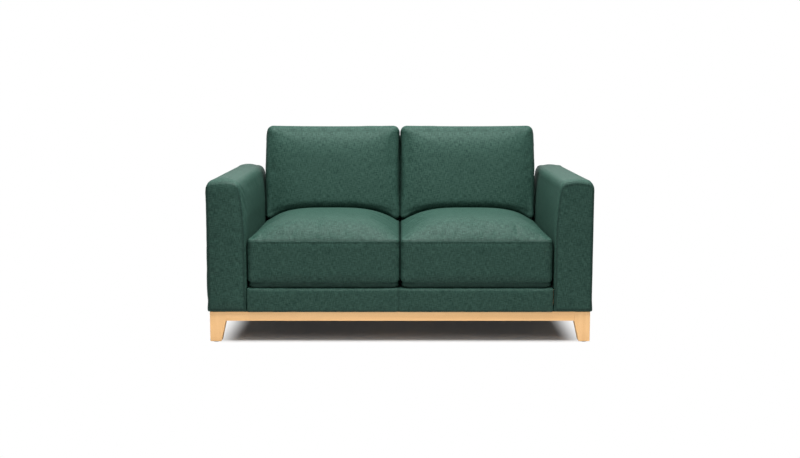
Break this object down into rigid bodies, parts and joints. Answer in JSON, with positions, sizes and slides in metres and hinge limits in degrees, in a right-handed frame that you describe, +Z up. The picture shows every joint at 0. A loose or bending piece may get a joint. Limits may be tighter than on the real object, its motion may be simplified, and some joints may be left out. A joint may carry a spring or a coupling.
{
  "type": "two-seat sofa",
  "caption": "Two-seat sofa with padded square arms, loose seat and back cushions in woven fabric and a low timber plinth on tapered legs.",
  "frame": {"origin": "on the floor, under the middle of the sofa's bounding box", "axes": "+X along the sofa to the right seen from the front, -Y out of the front, +Z up"},
  "size_m": [1.6, 0.885, 0.8718],
  "materials": {
    "upholstery": "matte",
    "beech": "satin",
    "frame_timber": "matte",
    "hardboard": "matte",
    "lining_cloth": "matte",
    "webbing": "matte",
    "foam": "matte",
    "felt": "matte",
    "zinc_steel": "satin",
    "zip_tape": "matte",
    "zip_metal": "satin"
  },
  "bodies": {
    "frame": {"leg_front_left": "beech", "leg_front_right": "beech", "leg_rear_left": "beech", "leg_rear_right": "beech", "leg_glides": "felt", "plinth_front_rail": "beech", "plinth_rear_rail": "beech", "plinth_side_rail_left": "beech", "plinth_side_rail_right": "beech", "plinth_centre_rail": "beech", "plinth_corner_blocks": "beech", "plinth_bolts": "zinc_steel", "dust_cover": "lining_cloth", "seat_front_rail": "frame_timber", "seat_rear_rail": "frame_timber", "seat_side_rail_left": "frame_timber", "seat_side_rail_right": "frame_timber", "seat_centre_rail": "frame_timber", "seat_webbing": "webbing", "seat_deck": "lining_cloth", "front_rail_cover": "upholstery", "arm_posts_left": "frame_timber", "arm_posts_right": "frame_timber", "arm_rails_left": "frame_timber", "arm_rails_right": "frame_timber", "arm_outer_panel_left": "hardboard", "arm_outer_panel_right": "hardboard", "arm_inner_panel_left": "hardboard", "arm_inner_panel_right": "hardboard", "arm_bolts": "zinc_steel", "arm_cover_left": "upholstery", "arm_cover_right": "upholstery", "back_posts": "frame_timber", "back_top_rail": "frame_timber", "back_bottom_rail": "frame_timber", "back_webbing": "webbing", "back_cover": "upholstery"},
    "seat_cushion_left": {"seat_cushion_left": "upholstery", "seat_foam_left": "foam", "seat_zip_left": "zip_tape"},
    "seat_cushion_right": {"seat_cushion_right": "upholstery", "seat_foam_right": "foam", "seat_zip_right": "zip_tape"},
    "seat_zip_slider_left": {"seat_zip_slider_left": "zip_metal"},
    "seat_zip_slider_right": {"seat_zip_slider_right": "zip_metal"},
    "back_cushion_left": {"back_cushion_left": "upholstery", "back_foam_left": "foam", "back_zip_left": "zip_tape"},
    "back_cushion_right": {"back_cushion_right": "upholstery", "back_foam_right": "foam", "back_zip_right": "zip_tape"},
    "back_zip_slider_left": {"back_zip_slider_left": "zip_metal"},
    "back_zip_slider_right": {"back_zip_slider_right": "zip_metal"}
  },
  "joints": [
    {"name": "seat_cushion_left_slide", "type": "slide", "parent": "frame", "child": "seat_cushion_left", "axis": [0, -1, 0], "range_m": [0, 0.78]},
    {"name": "back_cushion_left_lift", "type": "slide", "parent": "frame", "child": "back_cushion_left", "axis": [0, 0.1392, 0.9903], "range_m": [0, 0.4]},
    {"name": "seat_cushion_right_slide", "type": "slide", "parent": "frame", "child": "seat_cushion_right", "axis": [0, -1, 0], "range_m": [0, 0.78]},
    {"name": "back_cushion_right_lift", "type": "slide", "parent": "frame", "child": "back_cushion_right", "axis": [0, 0.1392, 0.9903], "range_m": [0, 0.4]},
    {"name": "seat_zip_left_slide", "type": "slide", "parent": "seat_cushion_left", "child": "seat_zip_slider_left", "axis": [1, 0, 0], "range_m": [0, 0.46]},
    {"name": "seat_zip_right_slide", "type": "slide", "parent": "seat_cushion_right", "child": "seat_zip_slider_right", "axis": [1, 0, 0], "range_m": [0, 0.46]},
    {"name": "back_zip_left_slide", "type": "slide", "parent": "back_cushion_left", "child": "back_zip_slider_left", "axis": [1, 0, 0], "range_m": [0, 0.42]},
    {"name": "back_zip_right_slide", "type": "slide", "parent": "back_cushion_right", "child": "back_zip_slider_right", "axis": [1, 0, 0], "range_m": [0, 0.42]}
  ]
}
